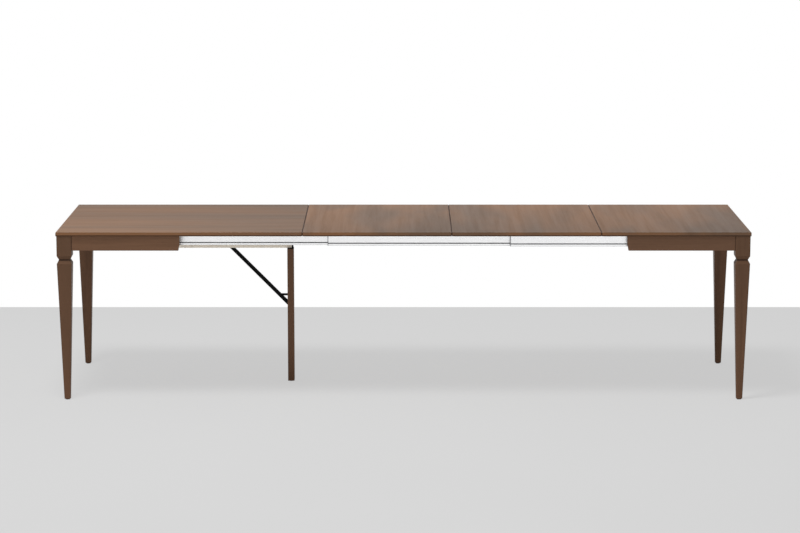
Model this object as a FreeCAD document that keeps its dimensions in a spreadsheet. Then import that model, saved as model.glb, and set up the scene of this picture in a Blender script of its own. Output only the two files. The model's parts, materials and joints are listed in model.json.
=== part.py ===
import FreeCAD, Part
import os
import re
import Sketcher

# Extending dining table, modelled at its full length: a fixed left half, a right half that slides
# on three-part runners, two loose leaves and a folding leg under the middle.
# The origin is on the floor under the centre of the extended top, with +X to the right, +Y to the
# back and +Z up. Lengths are in millimetres.

driving_sizes = (
    # Tops
    ("table_height", 780),
    ("table_width", 900),
    ("left_top_length", 1120),
    ("leaf_length", 680),
    ("right_top_length", 680),
    ("top_thickness", 18),
    ("top_overhang", 3),
    ("seam_gap", 0.6),
    ("top_edge_round", 2.5),
    ("seam_ease", 2.5),
    # Legs
    ("leg_width", 68),
    ("leg_edge_round", 5),
    ("foot_width", 28),
    ("groove_drop", 110),
    ("groove_span", 35),
    ("groove_depth", 9),
    ("floor_glide_height", 4),
    ("floor_glide_radius", 11),
    ("floor_glide_base_radius", 10),
    # Aprons
    ("apron_height", 67),
    ("apron_thickness", 22),
    ("apron_setback", 4),
    ("apron_reach", 562),
    ("apron_bevel_length", 6),
    ("apron_bevel_height", 30),
    ("apron_edge_round", 2),
    # Corner brackets
    ("corner_plate_thickness", 2.5),
    ("corner_plate_height", 40),
    ("corner_plate_gap", 1),
    ("corner_tab_length", 25),
    ("corner_bolt_radius", 4),
    ("corner_bolt_length", 45),
    ("corner_bolt_head_radius", 7.5),
    ("corner_bolt_head_height", 5.5),
    # Runners
    ("rail_height", 52),
    ("rail_thickness", 18),
    ("rail_spacing", 3),
    ("rail_inset", 11),
    ("rail_top_gap", 0.3),
    ("rail_end_margin", 130),
    ("left_rail_reach", 342),
    ("middle_rail_length", 1060),
    ("rail_overlap", 228),
    ("slot_lip", 9),
    ("slot_mouth", 5),
    ("slot_mouth_wall", 3),
    ("slot_height", 12),
    ("slot_depth", 6),
    ("chamber_wall", 2.5),
    ("rail_glide_length", 60),
    ("rail_glide_margin", 4),
    ("rail_glide_pitch", 150),
    ("rail_glide_flange_height", 16),
    ("rail_screw_margin", 60),
    # Fits, cuts and screws
    ("running_gap", 0.3),
    ("pin_clearance", 0.1),
    ("cut_overrun", 1),
    ("screw_radius", 2),
    ("screw_clearance", 0.2),
    ("screw_bite", 12),
    ("screw_head_radius", 4),
    ("screw_head_height", 2.5),
    # Leaf battens
    ("batten_width", 40),
    ("batten_height", 18),
    ("batten_inset", 170),
    ("batten_side_gap", 3),
    ("batten_screw_margin", 60),
    # Centre beam
    ("beam_height", 122),
    ("beam_thickness", 22),
    ("beam_setback", 67),
    ("angle_width", 30),
    # Support leg and its hinge
    ("support_leg_depth", 30),
    ("support_leg_width", 50),
    ("support_leg_proud", 11),
    ("support_leg_edge_round", 2),
    ("head_plate_thickness", 4),
    ("ear_radius", 9),
    ("ear_thickness", 3),
    ("ear_foot_length", 16),
    ("stop_gap", 1.5),
    ("stop_thickness", 7.5),
    ("stop_height", 12),
    ("hinge_offset", 11),
    ("hinge_rise", 9.5),
    ("hinge_plate_length", 40),
    ("hinge_plate_height", 45),
    ("hinge_plate_thickness", 3),
    ("hinge_plate_lift", 1),
    ("hinge_screw_rise", 26),
    ("hinge_screw_spacing", 22),
    ("hinge_pin_radius", 3),
    ("hinge_pin_depth", 16),
    ("hinge_pin_head_radius", 5),
    ("hinge_pin_head_height", 2.5),
    # Stay, its track and its catch
    ("stay_width", 18),
    ("stay_thickness", 4),
    ("stay_gap", 2.5),
    ("stay_foot_drop", 284),
    ("stay_rib_width", 5),
    ("stay_rib_height", 1.2),
    ("stay_rib_margin", 100),
    ("stay_pin_radius", 3),
    ("stay_pin_depth", 15),
    ("stay_pin_head_radius", 5.5),
    ("stay_pin_head_height", 2),
    ("stay_collar_radius", 7),
    ("slider_offset", 297),
    ("slider_rise", 12),
    ("slider_radius", 7),
    ("slider_width", 9),
    ("slider_side_gap", 1),
    ("track_length", 490),
    ("track_margin", 18),
    ("track_wall", 2),
    ("track_depth", 15.5),
    ("track_lift", 2),
    ("track_pin_gap", 1),
    ("catch_rise", 54),
    ("catch_thickness", 2),
    ("catch_arm_drop", 4),
    ("catch_hook_height", 3.5),
    ("catch_hook_length", 5),
    ("catch_arm_end", 10),
    ("catch_pin_radius", 2.5),
)

# Places and sizes that follow from the driving ones.
derived_places = (
    ("half_length", "(left_top_length + 2 * leaf_length + right_top_length) / 2"),
    ("half_width", "table_width / 2"),
    ("underside", "table_height - top_thickness"),
    ("left_seam", "left_top_length - half_length"),
    ("middle_seam", "left_seam + leaf_length"),
    ("right_seam", "middle_seam + leaf_length"),
    ("leg_x", "half_length - top_overhang - leg_width / 2"),
    ("leg_y", "half_width - top_overhang - leg_width / 2"),
    ("leg_inner_x", "leg_x - leg_width / 2"),
    ("leg_inner_y", "leg_y - leg_width / 2"),
    ("neck_width", "leg_width - 2 * groove_depth"),
    ("neck_height", "underside - groove_drop"),
    ("apron_outer_x", "half_length - top_overhang - apron_setback"),
    ("apron_outer_y", "half_width - top_overhang - apron_setback"),
    ("apron_inner_x", "apron_outer_x - apron_thickness"),
    ("apron_inner_y", "apron_outer_y - apron_thickness"),
    ("apron_bottom", "underside - apron_height"),
    ("apron_end", "half_length - apron_reach"),
    ("corner_depth_x", "apron_inner_x - leg_inner_x"),
    ("corner_depth_y", "apron_inner_y - leg_inner_y"),
    ("corner_span", "corner_depth_x + corner_depth_y + corner_plate_gap"),
    ("corner_fold", "(sqrt(2) - 1) * corner_plate_thickness"),
    ("corner_bolt_seat", "corner_plate_gap / 2 + corner_plate_thickness / sqrt(2)"),
    ("corner_bolt_start", "corner_bolt_seat + corner_bolt_head_height / sqrt(2)"),
    ("corner_plate_bottom", "apron_bottom + (apron_height - corner_plate_height) / 2"),
    ("rail_top", "underside - rail_top_gap"),
    ("rail_bottom", "rail_top - rail_height"),
    ("right_rail_face", "apron_inner_y - rail_inset"),
    ("middle_rail_face", "right_rail_face - rail_thickness - rail_spacing"),
    ("left_rail_face", "middle_rail_face - rail_thickness - rail_spacing"),
    ("left_rail_start", "rail_end_margin - half_length"),
    ("left_rail_end", "left_seam + left_rail_reach"),
    ("middle_rail_start", "left_rail_end - rail_overlap"),
    ("middle_rail_end", "middle_rail_start + middle_rail_length"),
    ("right_rail_start", "middle_rail_end - rail_overlap"),
    ("right_rail_end", "half_length - rail_end_margin"),
    ("slot_bottom", "slot_lip + (slot_mouth - slot_height) / 2"),
    ("slot_top", "slot_bottom + slot_height"),
    ("slot_middle", "rail_bottom + slot_lip + slot_mouth / 2"),
    ("rail_screw_depth", "(rail_thickness + slot_mouth_wall + slot_depth) / 2"),
    ("batten_half_length", "left_rail_face - rail_thickness - batten_side_gap"),
    ("beam_back", "beam_thickness / 2"),
    ("beam_bottom", "underside - beam_height"),
    ("beam_end", "left_seam - beam_setback"),
    ("support_leg_right", "beam_end + support_leg_proud"),
    ("support_leg_left", "support_leg_right - support_leg_depth"),
    ("support_leg_back", "support_leg_width / 2"),
    ("head_bottom", "beam_bottom - head_plate_thickness"),
    ("hinge_x", "support_leg_left - hinge_offset"),
    ("hinge_z", "beam_bottom + hinge_rise"),
    ("hinge_screw_z", "hinge_z + hinge_screw_rise"),
    ("ear_front", "beam_back + hinge_plate_thickness + running_gap"),
    ("stay_front", "support_leg_back + stay_gap"),
    ("stay_back", "stay_front + stay_thickness"),
    ("stay_foot_x", "support_leg_left + support_leg_depth / 2"),
    ("stay_foot_z", "beam_bottom - stay_foot_drop"),
    ("slider_x", "beam_end - slider_offset"),
    ("slider_z", "beam_bottom + slider_rise"),
    ("slider_front", "beam_back + track_wall + slider_side_gap"),
    ("track_ceiling", "slider_z + slider_radius + running_gap"),
    ("track_end", "slider_x + track_margin"),
    ("stay_run", "stay_foot_x - slider_x"),
    ("stay_rise", "slider_z - stay_foot_z"),
    ("stay_length", "sqrt(stay_run ^ 2 + stay_rise ^ 2)"),
    ("catch_share", "catch_rise / stay_rise"),
    ("catch_x", "stay_foot_x - stay_run * catch_share"),
    ("catch_z", "stay_foot_z + catch_rise"),
    ("catch_hold", "catch_pin_radius + running_gap"),
)

# Share of the ear's radius at which its corners are cut.
ear_corner_share = 0.5

# Flats round each long edge of a leg, and round a screw's head and its plain shank.
flats_per_leg_edge = 3
flats_per_head = 6
flats_per_shank = 8

doc = FreeCAD.newDocument("extending_table")
owners = {name: "sizes." for name, number in driving_sizes}
owners.update({name: "places." for name, text in derived_places})
nodes = []


def formula(text):
    """The text with each named size and place pointed at the object that holds it."""
    return re.sub(r"[a-z]\w*", lambda word: owners.get(word.group(), "") + word.group(), str(text))


def write_sizes():
    """Puts the driving sizes in a spreadsheet and works the places out from them."""
    sheet = doc.addObject("Spreadsheet::Sheet", "sizes")
    for row, (name, number) in enumerate(driving_sizes, start=1):
        sheet.set(f"A{row}", name)
        sheet.set(f"B{row}", str(number))
        sheet.setAlias(f"B{row}", name)
    places = doc.addObject("App::VarSet", "places")
    for name, text in derived_places:
        places.addProperty("App::PropertyFloat", name, "Places")
        places.setExpression(name, formula(text))
    doc.recompute()
    return sheet, places


sizes, places = write_sizes()


def number(name):
    """What a named size or place comes to now, for the first guess of a sketch."""
    if owners[name] == "sizes.":
        return sizes.get(name)
    return getattr(places, name)


def node(item):
    """Keeps an object as one of the table's named pieces."""
    nodes.append(item)
    return item


def place(item, x, y, z, rotation=FreeCAD.Rotation()):
    """Turns an object and binds its place to the sizes."""
    item.Placement = FreeCAD.Placement(FreeCAD.Vector(), rotation)
    for axis, text in zip("xyz", (x, y, z)):
        item.setExpression("Placement.Base." + axis, formula(text))


# Turns that point a piece's own Z axis along another direction.
to_back = FreeCAD.Rotation(FreeCAD.Vector(1, 0, 0), -90)
to_front = FreeCAD.Rotation(FreeCAD.Vector(1, 0, 0), 90)
upward = FreeCAD.Rotation()


def box(name, start, size):
    """A block, from its lowest corner and its size along X, Y and Z."""
    item = doc.addObject("Part::Box", name)
    for side, text in zip(("Length", "Width", "Height"), size):
        item.setExpression(side, formula(text))
    place(item, *start)
    return item


def rod(name, start, radius, length, rotation=upward):
    """A round bar, from the centre of its first end."""
    item = doc.addObject("Part::Cylinder", name)
    item.setExpression("Radius", formula(radius))
    item.setExpression("Height", formula(length))
    place(item, *start, rotation)
    return item


def prism(name, start, flats, radius, length, rotation=upward):
    """A bar with flats, from the centre of its first end and the radius of its corners."""
    item = doc.addObject("Part::Prism", name)
    item.Polygon = flats
    item.setExpression("Circumradius", formula(radius))
    item.setExpression("Height", formula(length))
    place(item, *start, rotation)
    return item


def group(name, items):
    """Separate solids that share one name."""
    item = doc.addObject("Part::Compound", name)
    item.Links = items
    return item


def fused(name, items):
    item = doc.addObject("Part::MultiFuse", name)
    item.Shapes = items
    return item


def drilled(name, blank, holes):
    item = doc.addObject("Part::Cut", name)
    item.Base = blank
    item.Tool = group(name + "_holes", holes)
    return item


def new_sketch(body, plane, offset="0"):
    """A sketch on one of the body's own planes, or a distance in front of it."""
    sketch = body.newObject("Sketcher::SketchObject", body.Name + "_sketch")
    support = next(item for item in body.Origin.OriginFeatures if item.Role == plane)
    sketch.AttachmentSupport = [(support, "")]
    sketch.MapMode = "FlatFace"
    sketch.setExpression("AttachmentOffset.Base.z", formula(offset))
    return sketch


def bind_point(sketch, geometry, point, place_texts):
    """Ties a point of a sketch to its distances from the sketch's origin."""
    for kind, text in zip(("DistanceX", "DistanceY"), place_texts):
        tie = sketch.addConstraint(Sketcher.Constraint(kind, -1, 1, geometry, point, 1))
        sketch.setExpression(f"Constraints[{tie}]", formula(text))


def draw_polygon(sketch, outline):
    """A closed outline of straight lines, drawn first round a unit circle."""
    first = sketch.GeometryCount
    count = len(outline)
    unit = FreeCAD.Vector(1, 0, 0)
    spin = FreeCAD.Rotation(FreeCAD.Vector(0, 0, 1), 360 / count)
    for index in range(count):
        following = spin.multVec(unit)
        sketch.addGeometry(Part.LineSegment(unit, following), False)
        unit = following
    for index, corner in enumerate(outline):
        after = first + (index + 1) % count
        sketch.addConstraint(Sketcher.Constraint("Coincident", first + index, 2, after, 1))
        bind_point(sketch, first + index, 1, corner)


def draw_circle(sketch, centre, radius):
    index = sketch.addGeometry(Part.Circle(), False)
    bind_point(sketch, index, 3, centre)
    tie = sketch.addConstraint(Sketcher.Constraint("Radius", index, 1))
    sketch.setExpression(f"Constraints[{tie}]", formula(radius))


def draw_smooth_loop(sketch, corners, radius):
    """Straight lines joined by arcs round the given centres, in anticlockwise order.

    Each corner is its centre as numbers, for the first guess, and the angle at which its arc starts.
    """
    count = len(corners)
    turn = 360 / count
    normal = FreeCAD.Vector(0, 0, 1)
    reach = FreeCAD.Vector(radius, 0, 0)
    starts = []
    ends = []
    for centre, angle in corners:
        starts.append(centre + FreeCAD.Rotation(normal, angle).multVec(reach))
        ends.append(centre + FreeCAD.Rotation(normal, angle + turn).multVec(reach))
        middle = centre + FreeCAD.Rotation(normal, angle + turn / 2).multVec(reach)
        sketch.addGeometry(Part.Arc(starts[-1], middle, ends[-1]), False)
    for index in range(count):
        sketch.addGeometry(Part.LineSegment(ends[index], starts[(index + 1) % count]), False)
    for index in range(count):
        line = count + index
        sketch.addConstraint(Sketcher.Constraint("Tangent", index, 2, line, 1))
        sketch.addConstraint(Sketcher.Constraint("Tangent", line, 2, (index + 1) % count, 1))
    for index in range(1, count):
        sketch.addConstraint(Sketcher.Constraint("Equal", 0, index))


def eased_square(width, radius, flats):
    """A square about the origin, whose corners follow a radius in a few flats."""
    outline = []
    for x, y, first in ((1, 1, 0), (-1, 1, 90), (-1, -1, 180), (1, -1, 270)):
        for step in range(flats + 1):
            angle = first + 90 * step / flats
            across = f"{x} * ({width} / 2 - {radius}) + {radius} * cos({angle})"
            deep = f"{y} * ({width} / 2 - {radius}) + {radius} * sin({angle})"
            outline.append((across, deep))
    return outline


def plate(name, plane, outline, length, start, holes=(), openings=()):
    """A body padded from an outline on one of its own planes, towards +X, +Y or +Z."""
    body = doc.addObject("PartDesign::Body", name)
    sketch = new_sketch(body, plane)
    draw_polygon(sketch, outline)
    for opening in openings:
        draw_polygon(sketch, opening)
    for centre, radius in holes:
        draw_circle(sketch, centre, radius)
    pad = body.newObject("PartDesign::Pad", name + "_pad")
    pad.Profile = sketch
    pad.setExpression("Length", formula(length))
    pad.Reversed = plane == "XZ_Plane"
    place(body, *start)
    return body


def rectangle(low_a, high_a, low_b, high_b):
    return (low_a, low_b), (high_a, low_b), (high_a, high_b), (low_a, high_b)


def turned(name, steps, start, rotation=upward, bore="0"):
    """A turned piece, whose steps are (radius, length) pairs along its axis."""
    body = doc.addObject("PartDesign::Body", name)
    outline = [(bore, "0")]
    reach = "0"
    for radius, length in steps:
        outline.append((radius, reach))
        reach = f"{reach} + {length}"
        outline.append((radius, reach))
    outline.append((bore, reach))
    sketch = new_sketch(body, "XZ_Plane")
    draw_polygon(sketch, outline)
    turn = body.newObject("PartDesign::Revolution", name + "_turn")
    turn.Profile = sketch
    turn.ReferenceAxis = (sketch, ["V_Axis"])
    turn.Angle = 360
    place(body, *start, rotation)
    return body


def hexagon_bolt(name, start, head_radius, head_height, radius, length, rotation=upward):
    """A bolt or screw with a hexagon head, from the top of its head; the length is below the head."""
    head = prism(name + "_head", start, flats_per_head, head_radius, head_height, rotation)
    shank = prism(name + "_shank", start, flats_per_shank, radius, f"{head_height} + {length}", rotation)
    return fused(name, [head, shank])


def screw(name, start, length, rotation=upward):
    head = ("screw_head_radius", "screw_head_height")
    return hexagon_bolt(name, start, *head, "screw_radius", length, rotation)


def screw_hole(name, start, length):
    """What to cut away for a screw that points upwards, past both faces of its board."""
    x, y, z = start
    reach = f"{length} + 2 * cut_overrun"
    return prism(name, (x, y, f"{z} - cut_overrun"), flats_per_shank, "screw_radius + screw_clearance", reach)


def dress_edges(body, kind, size, chosen):
    """Adds a Fillet or a Chamfer along those edges of a body that the test picks."""
    doc.recompute()
    base = body.Tip
    names = [f"Edge{index}" for index, edge in enumerate(base.Shape.Edges, start=1) if chosen(edge)]
    feature = body.newObject("PartDesign::" + kind, f"{body.Name}_{kind.lower()}")
    feature.Base = (base, names)
    feature.setExpression({"Fillet": "Radius", "Chamfer": "Size"}[kind], formula(size))


def along(axis):
    """Tests whether an edge runs along an axis."""
    def runs(edge):
        return edge.Curve.TypeId == "Part::GeomLine" and abs(edge.Curve.Direction.dot(axis)) > 1 - 1e-6
    return runs


def at_x(position):
    """Tests whether an edge lies in the plane across X at a position."""
    def lies(edge):
        return all(round(vertex.X - position, 3) == 0 for vertex in edge.Vertexes)
    return lies


axis_x = FreeCAD.Vector(1, 0, 0)
axis_z = FreeCAD.Vector(0, 0, 1)
sides = (("front", -1), ("back", 1))
ends = (("left", -1), ("right", 1))


# Tops: boards with round long edges, a round outer end and slightly eased seams.
def top(name, start, length, outer_end=None):
    outline = rectangle("-half_width", "half_width", "underside", "table_height")
    body = plate(name, "YZ_Plane", outline, length, (start, "0", "0"))
    doc.recompute()
    reaches = {"left": 0, "right": body.Shape.BoundBox.XLength}
    seams = [at_x(reach) for end, reach in reaches.items() if end != outer_end]

    def at_seam(edge):
        return any(seam(edge) for seam in seams)
    dress_edges(body, "Fillet", "top_edge_round", lambda edge: not along(axis_z)(edge) and not at_seam(edge))
    dress_edges(body, "Chamfer", "seam_ease", at_seam)
    return node(body)


top("left_top", "-half_length", "left_top_length - seam_gap / 2", "left")
top("leaf_1", "left_seam + seam_gap / 2", "leaf_length - seam_gap")
top("leaf_2", "middle_seam + seam_gap / 2", "leaf_length - seam_gap")
top("right_top", "right_seam + seam_gap / 2", "right_top_length - seam_gap / 2", "right")


# Legs: a square taper up to a V-shaped groove, and a square post above it.
def leg(name, x, y):
    sections = (
        ("floor_glide_height", "foot_width"),
        ("neck_height - groove_span / 2", "leg_width"),
        ("neck_height", "neck_width"),
        ("neck_height + groove_span / 2", "leg_width"),
        ("underside", "leg_width"),
    )
    sketches = []
    for index, (height, width) in enumerate(sections, start=1):
        sketch = doc.addObject("Sketcher::SketchObject", f"{name}_section_{index}")
        place(sketch, x, y, height)
        draw_polygon(sketch, eased_square(width, "leg_edge_round", flats_per_leg_edge))
        sketches.append(sketch)
    loft = doc.addObject("Part::Loft", name)
    loft.Sections = sketches
    loft.Solid = True
    loft.Ruled = True
    loft.Linearize = True
    return node(loft)


def floor_glide(name, x, y):
    item = doc.addObject("Part::Cone", name)
    item.setExpression("Radius1", formula("floor_glide_base_radius"))
    item.setExpression("Radius2", formula("floor_glide_radius"))
    item.setExpression("Height", formula("floor_glide_height"))
    place(item, x, y, "0")
    return item


for end_name, end in ends:
    glides = []
    for side_name, side in sides:
        leg(f"leg_{end_name}_{side_name}", f"{end} * leg_x", f"{side} * leg_y")
        glides.append(floor_glide(f"{end_name}_{side_name}_glide", f"{end} * leg_x", f"{side} * leg_y"))
    node(group(f"{end_name}_leg_glides", glides))


# Aprons: side boards with a bevelled free end, and a plain board across each end.
def side_apron(name, end, side):
    outline = (
        (f"{end} * leg_inner_x", "apron_bottom"),
        (f"{end} * leg_inner_x", "underside"),
        (f"{end} * apron_end", "underside"),
        (f"{end} * apron_end", "apron_bottom + apron_bevel_height"),
        (f"{end} * (apron_end + apron_bevel_length)", "apron_bottom"),
    )
    middle = f"{side} * (apron_outer_y + apron_inner_y) / 2"
    body = plate(name, "XZ_Plane", outline, "apron_thickness", ("0", f"{middle} - apron_thickness / 2", "0"))

    def lower(edge):
        return along(axis_x)(edge) and round(edge.Vertexes[0].Z - number("apron_bottom"), 3) == 0
    dress_edges(body, "Fillet", "apron_edge_round", lower)
    return node(body)


def end_apron(name, end):
    outline = rectangle("-apron_thickness / 2", "apron_thickness / 2", "-leg_inner_y", "leg_inner_y")
    middle = f"{end} * (apron_outer_x + apron_inner_x) / 2"
    return node(plate(name, "XY_Plane", outline, "apron_height", (middle, "0", "apron_bottom")))


for end_name, end in ends:
    for side_name, side in sides:
        side_apron(f"{end_name}_{side_name}_apron", end, side)
    end_apron(f"{end_name}_end_apron", end)


# Corner brackets: a folded plate across each inner corner, and a bolt through it into the leg.
def corner_point(end, side, inward_x, inward_y):
    return f"{end} * (apron_inner_x - ({inward_x}))", f"{side} * (apron_inner_y - ({inward_y}))"


def corner_bolt(name, end, side):
    """A hexagon bolt that points outwards through the corner, and the hole that it needs."""
    yaw = FreeCAD.Vector(end, side, 0)
    outwards = FreeCAD.Rotation(axis_z, yaw)
    inward = ("corner_depth_x + corner_bolt_start", "corner_depth_y + corner_bolt_start")
    start = (*corner_point(end, side, *inward), "corner_plate_bottom + corner_plate_height / 2")
    head = ("corner_bolt_head_radius", "corner_bolt_head_height")
    length = "corner_plate_thickness + corner_bolt_length"
    bolt = hexagon_bolt(name, start, *head, "corner_bolt_radius", length, outwards)
    hole = prism(name + "_hole", start, flats_per_shank, "corner_bolt_radius + screw_clearance",
                 f"corner_bolt_head_height + {length}", outwards)
    return bolt, hole


def corner_bracket(name, end, side, hole):
    inward = (
        ("0", "corner_span + corner_tab_length"),
        ("0", "corner_span"),
        ("corner_span", "0"),
        ("corner_span + corner_tab_length", "0"),
        ("corner_span + corner_tab_length", "corner_plate_thickness"),
        ("corner_span + corner_fold", "corner_plate_thickness"),
        ("corner_plate_thickness", "corner_span + corner_fold"),
        ("corner_plate_thickness", "corner_span + corner_tab_length"),
    )
    outline = [corner_point(end, side, x, y) for x, y in inward]
    start = ("0", "0", "corner_plate_bottom")
    blank = plate(name + "_blank", "XY_Plane", outline, "corner_plate_height", start)
    return node(drilled(name, blank, [hole]))


for end_name, end in ends:
    bolts = []
    for side_name, side in sides:
        bolt, hole = corner_bolt(f"{end_name}_{side_name}_corner_bolt", end, side)
        corner_bracket(f"corner_bracket_{end_name}_{side_name}", end, side, hole)
        bolts.append(bolt)
    node(group(f"{end_name}_corner_bolts", bolts))


# Runners: hollow extrusions with a T-slot along the outboard face.
rail_profile = (
    ("0", "0"),
    ("rail_thickness", "0"),
    ("rail_thickness", "rail_height"),
    ("0", "rail_height"),
    ("0", "slot_lip + slot_mouth"),
    ("slot_mouth_wall", "slot_lip + slot_mouth"),
    ("slot_mouth_wall", "slot_top"),
    ("slot_mouth_wall + slot_depth", "slot_top"),
    ("slot_mouth_wall + slot_depth", "slot_bottom"),
    ("slot_mouth_wall", "slot_bottom"),
    ("slot_mouth_wall", "slot_lip"),
    ("0", "slot_lip"),
)
rail_chamber = rectangle(
    "chamber_wall", "rail_thickness - chamber_wall", "slot_top + chamber_wall", "rail_height - chamber_wall"
)


def rail(name, member, side):
    """One runner, from depths behind its outboard face and heights above its bottom."""
    def across(profile):
        return [(f"{side} * ({member}_face - ({depth}))", height) for depth, height in profile]
    length = f"{member}_end - {member}_start"
    start = (f"{member}_start", "0", "rail_bottom")
    return plate(name, "YZ_Plane", across(rail_profile), length, start, (), [across(rail_chamber)])


def screwed_rail(name, member, side, places_x):
    """A runner that screws hold to its top, with the screws."""
    y = f"{side} * ({member}_face - rail_screw_depth)"
    holes = []
    screws = []
    for index, x in enumerate(places_x, start=1):
        holes.append(screw_hole(f"{name}_hole_{index}", (x, y, "rail_bottom"), "rail_height"))
        head = (x, y, "rail_bottom - screw_head_height")
        screws.append(screw(f"{name}_screw_{index}", head, "rail_height + rail_top_gap + screw_bite"))
    node(drilled(name, rail(name + "_blank", member, side), holes))
    return screws


# Glides: T-shaped blocks on the inboard face of one runner, in the slot of the next.
glides_per_rail = 2


def rail_glides(name, member, side):
    slot_reach = "rail_spacing + slot_mouth_wall"
    inward = (
        ("0", "rail_glide_flange_height / 2"),
        ("rail_spacing - running_gap", "rail_glide_flange_height / 2"),
        ("rail_spacing - running_gap", "slot_mouth / 2 - running_gap"),
        (f"{slot_reach} + running_gap", "slot_mouth / 2 - running_gap"),
        (f"{slot_reach} + running_gap", "slot_height / 2 - running_gap"),
        (f"{slot_reach} + slot_depth - running_gap", "slot_height / 2 - running_gap"),
    )
    inner_face = f"{member}_face - rail_thickness"
    upper = [(f"{side} * ({inner_face} - ({reach}))", height) for reach, height in inward]
    lower = [(across, f"-({height})") for across, height in reversed(upper)]
    glides = []
    for index in range(glides_per_rail):
        start = (f"{member}_start + rail_glide_margin + {index} * rail_glide_pitch", "0", "slot_middle")
        glides.append(plate(f"{name}_{index + 1}", "YZ_Plane", upper + lower, "rail_glide_length", start))
    return node(group(name, glides))


left_screw_places = (
    "left_rail_start + rail_screw_margin",
    "(left_rail_start + left_seam) / 2",
    "left_seam - rail_screw_margin",
)
right_screw_places = (
    "right_seam + rail_screw_margin",
    "(right_seam + right_rail_end) / 2",
    "right_rail_end - rail_screw_margin",
)
left_screws = []
right_screws = []
for side_name, side in sides:
    left_screws += screwed_rail(f"left_rail_{side_name}", "left_rail", side, left_screw_places)
    node(rail(f"middle_rail_{side_name}", "middle_rail", side))
    right_screws += screwed_rail(f"right_rail_{side_name}", "right_rail", side, right_screw_places)
    rail_glides(f"middle_rail_glides_{side_name}", "middle_rail", side)
    rail_glides(f"right_rail_glides_{side_name}", "right_rail", side)
node(group("left_rail_screws", left_screws))
node(group("right_rail_screws", right_screws))


# Leaf battens: boards across each leaf that keep it flat and centred between the runners.
def leaf_batten(name, x):
    screws = []
    holes = []
    for side_name, side in sides:
        y = f"{side} * (batten_half_length - batten_screw_margin)"
        bottom = "underside - batten_height"
        screws.append(screw(f"{name}_{side_name}_screw", (x, y, f"{bottom} - screw_head_height"),
                            "batten_height + screw_bite"))
        holes.append(screw_hole(f"{name}_{side_name}_hole", (x, y, bottom), "batten_height"))
    start = (f"{x} - batten_width / 2", "-batten_half_length", "underside - batten_height")
    blank = box(name + "_blank", start, ("batten_width", "2 * batten_half_length", "batten_height"))
    node(drilled(name, blank, holes))
    return screws


for leaf_name, seam in (("leaf_1", "left_seam"), ("leaf_2", "middle_seam")):
    leaf_screws = leaf_batten(f"{leaf_name}_batten_left", f"{seam} + batten_inset")
    leaf_screws += leaf_batten(f"{leaf_name}_batten_right", f"{seam} + leaf_length - batten_inset")
    node(group(f"{leaf_name}_screws", leaf_screws))


# Centre beam: a board on edge under the left top, held to the end apron by two angles.
def centre_beam():
    outline = rectangle("-apron_inner_x", "beam_end", "beam_bottom", "underside")
    board = plate("centre_beam_board", "XZ_Plane", outline, "beam_thickness", ("0", "-beam_back", "0"))
    hole = rod("hinge_pin_hole", ("hinge_x", "beam_back + cut_overrun", "hinge_z"),
               "hinge_pin_radius + pin_clearance", "hinge_pin_depth + pin_clearance + cut_overrun", to_front)
    return node(drilled("centre_beam", board, [hole]))


def beam_bracket(name, side):
    inward = (
        ("0", "0"),
        ("angle_width", "0"),
        ("angle_width", "corner_plate_thickness"),
        ("corner_plate_thickness", "corner_plate_thickness"),
        ("corner_plate_thickness", "angle_width"),
        ("0", "angle_width"),
    )
    outline = [(f"{x} - apron_inner_x", f"{side} * (beam_back + {y})") for x, y in inward]
    return plate(name, "XY_Plane", outline, "corner_plate_height", ("0", "0", "corner_plate_bottom"))


centre_beam()
node(group("beam_brackets", [beam_bracket(f"beam_bracket_{side_name}", side) for side_name, side in sides]))


# Hinge: a fixed plate on the back of the beam, with a riveted pin that the support leg's ear turns on.
def hinge():
    right = "beam_end - hinge_plate_lift"
    middle = f"{right} - hinge_plate_length / 2"
    places_x = (f"{middle} - hinge_screw_spacing / 2", f"{middle} + hinge_screw_spacing / 2")
    holes = [((x, "hinge_screw_z"), "screw_radius + screw_clearance") for x in places_x]
    low = "beam_bottom + hinge_plate_lift"
    outline = rectangle(f"{right} - hinge_plate_length", right, low, f"{low} + hinge_plate_height")
    fixed = plate("hinge_plate", "XZ_Plane", outline, "hinge_plate_thickness", ("0", "beam_back", "0"), holes)
    screw_start = "beam_back + hinge_plate_thickness + screw_head_height"
    length = "hinge_plate_thickness + screw_bite"
    screws = [screw(f"hinge_screw_{index}", (x, screw_start, "hinge_screw_z"), length, to_front)
              for index, x in enumerate(places_x, start=1)]
    node(group("hinge_screws", screws))
    pin_length = "hinge_pin_depth + hinge_plate_thickness + ear_thickness + 2 * running_gap"
    steps = (("hinge_pin_radius", pin_length), ("hinge_pin_head_radius", "hinge_pin_head_height"))
    start = ("hinge_x", "beam_back - hinge_pin_depth", "hinge_z")
    node(fused("hinge_bracket", [fixed, turned("hinge_pin", steps, start, to_back)]))


hinge()


# Support leg: a plain post with a steel head that turns on the hinge and stops against the beam.
def support_leg():
    outline = rectangle("support_leg_left", "support_leg_right", "-support_leg_back", "support_leg_back")
    height = "head_bottom - floor_glide_height"
    post = plate("support_leg_post", "XY_Plane", outline, height, ("0", "0", "floor_glide_height"))
    dress_edges(post, "Fillet", "support_leg_edge_round", along(axis_z))
    pivot = ("stay_foot_x", "support_leg_back + cut_overrun", "stay_foot_z")
    hole = rod("stay_pivot_hole", pivot, "stay_pin_radius + pin_clearance",
               "stay_pin_depth + pin_clearance + cut_overrun", to_front)
    node(drilled("support_leg", post, [hole]))
    node(floor_glide("support_leg_glide", "stay_foot_x", "0"))


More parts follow.
